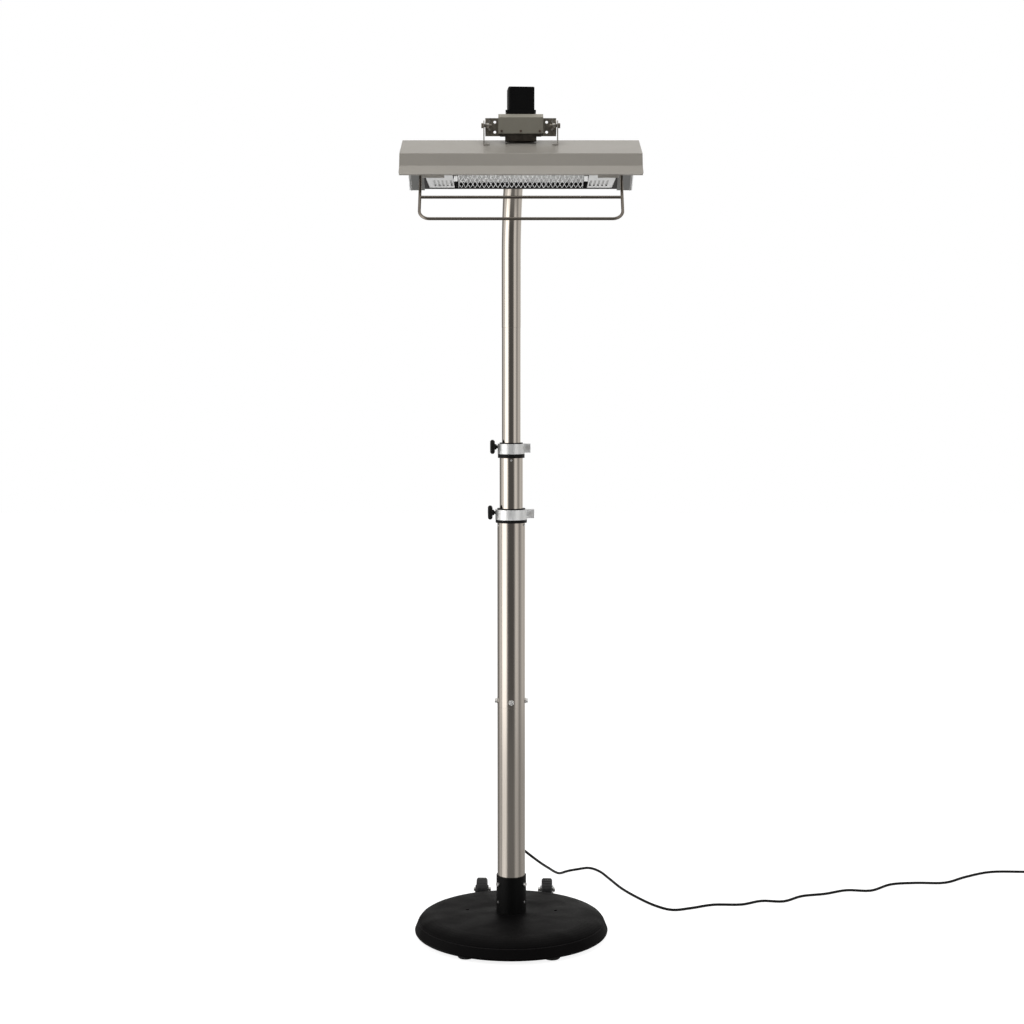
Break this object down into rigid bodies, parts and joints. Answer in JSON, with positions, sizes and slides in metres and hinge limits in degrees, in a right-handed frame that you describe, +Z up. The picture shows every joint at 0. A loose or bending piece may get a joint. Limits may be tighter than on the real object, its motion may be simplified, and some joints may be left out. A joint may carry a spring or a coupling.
{
  "type": "infrared patio heater tower",
  "caption": "Free-standing infrared patio heater: weighted round base on wheels, telescoping steel pole, bent arm and tilting hooded heater head with a guard rail.",
  "frame": {"origin": "on the pole's axis at floor level, under the middle of the round base", "axes": "+Z up along the pole, -Y to the front where the heater head faces, +X to the viewer's right"},
  "size_m": [2.2319, 1.1836, 2.2728],
  "materials": {
    "base_paint": "fine matt black texture paint on the round base shell",
    "concrete": "cast concrete ballast",
    "black_steel": "black powder coat",
    "foot_rubber": "black rubber",
    "wheel_plastic": "black moulded plastic",
    "zinc": "zinc plated steel fasteners",
    "bright_bolt": "bright plated bolts",
    "brushed_tube": "brushed stainless steel, warm tint",
    "polished_tube": "fine polished stainless steel",
    "collar_plastic": "black nylon bushings",
    "clamp_aluminium": "satin aluminium",
    "knob_plastic": "black moulded knob",
    "box_plastic": "black moulded box",
    "bronze_steel": "dark brown-grey steel",
    "taupe_paint": "satin warm grey paint",
    "graphite_paint": "dark grey paint",
    "bright_sheet": "bright anodised aluminium sheet",
    "grille_steel": "bright steel mesh",
    "quartz": "clear quartz lamp tube",
    "ceramic": "white ceramic",
    "cord_rubber": "black rubber sheath",
    "tie_fabric": "black hook and loop tie",
    "brass_pins": "plain brass pins"
  },
  "bodies": {
    "base": {"base_shell": "base_paint", "base_ballast": "concrete", "base_plate": "black_steel", "base_feet": "foot_rubber", "base_screws": "zinc", "post_socket": "black_steel", "socket_flange_bolts": "zinc", "socket_bolts": "bright_bolt", "wheel_brackets": "black_steel", "bracket_bolts": "zinc", "axle_bolts": "bright_bolt", "lower_tube": "brushed_tube", "cord_gland": "collar_plastic", "tube_coupler": "brushed_tube", "coupler_bolts": "bright_bolt", "outer_tube": "brushed_tube", "lower_bushing": "collar_plastic", "lower_clamp_ring": "clamp_aluminium", "lower_collar_screws": "zinc", "cord": "cord_rubber", "cord_coil": "cord_rubber", "cord_tie": "tie_fabric", "plug_body": "cord_rubber", "plug_pins": "brass_pins"},
    "left_wheel": {"wheel_left": "wheel_plastic"},
    "right_wheel": {"wheel_right": "wheel_plastic"},
    "lower_clamp_knob": {"lower_knob": "knob_plastic"},
    "mid_pole": {"mid_tube": "polished_tube", "mid_guide_bush": "collar_plastic", "upper_bushing": "collar_plastic", "upper_clamp_ring": "clamp_aluminium", "upper_collar_screws": "zinc"},
    "upper_clamp_knob": {"upper_knob": "knob_plastic"},
    "upper_pole": {"upper_tube": "polished_tube", "upper_guide_bush": "collar_plastic", "arm_spigot": "polished_tube"},
    "arm": {"offset_arm": "polished_tube", "head_block": "black_steel", "block_screws": "zinc", "terminal_box": "box_plastic", "bracket_plate": "bronze_steel", "saddle": "bronze_steel", "bracket_cover": "taupe_paint", "cover_screws": "zinc", "pivot_bolts": "bronze_steel"},
    "left_wing_nut": {"wing_nut_left": "zinc"},
    "right_wing_nut": {"wing_nut_right": "zinc"},
    "head": {"hood": "taupe_paint", "hood_ears": "taupe_paint", "hood_webs": "graphite_paint", "heater_trough": "graphite_paint", "end_caps": "graphite_paint", "end_plates": "bright_sheet", "reflector": "bright_sheet", "slotted_covers": "bright_sheet", "lamp": "quartz", "lamp_holders": "ceramic", "mesh_grille": "grille_steel", "guard_rail": "bronze_steel"}
  },
  "joints": [
    {"name": "left_wheel_spin", "type": "hinge", "parent": "base", "child": "left_wheel", "pos_m": [-0.08584, 0.29284, 0.0435], "axis": [0.9995, -0.0314, 0], "continuous": true},
    {"name": "right_wheel_spin", "type": "hinge", "parent": "base", "child": "right_wheel", "pos_m": [0.10406, 0.28687, 0.0435], "axis": [0.9995, -0.0314, 0], "continuous": true},
    {"name": "lower_knob_turn", "type": "hinge", "parent": "base", "child": "lower_clamp_knob", "pos_m": [0, 0, 1.17305], "axis": [-0.9986, -0.0523, 0], "range_deg": [0, 360]},
    {"name": "lower_telescope", "type": "slide", "parent": "base", "child": "mid_pole", "axis": [0, 0, 1], "range_m": [-0.115, 0.05]},
    {"name": "upper_knob_turn", "type": "hinge", "parent": "mid_pole", "child": "upper_clamp_knob", "pos_m": [0, 0, 1.35155], "axis": [-0.9986, -0.0523, 0], "range_deg": [0, 360]},
    {"name": "upper_telescope", "type": "slide", "parent": "mid_pole", "child": "upper_pole", "axis": [0, 0, 1], "range_m": [-0.29, 0.05]},
    {"name": "arm_swivel", "type": "hinge", "parent": "upper_pole", "child": "arm", "pos_m": [0, 0, 1.673], "axis": [0, 0, 1], "range_deg": [-170, 170]},
    {"name": "head_tilt", "type": "hinge", "parent": "arm", "child": "head", "pos_m": [0.02407, -0.29184, 2.17179], "axis": [1, 0, 0], "range_deg": [-25, 15]},
    {"name": "left_wing_nut_turn", "type": "hinge", "parent": "arm", "child": "left_wing_nut", "pos_m": [-0.05593, -0.29184, 2.17179], "axis": [-1, 0, 0], "range_deg": [0, 360]},
    {"name": "right_wing_nut_turn", "type": "hinge", "parent": "arm", "child": "right_wing_nut", "pos_m": [0.10407, -0.29184, 2.17179], "axis": [1, 0, 0], "range_deg": [0, 360]}
  ]
}
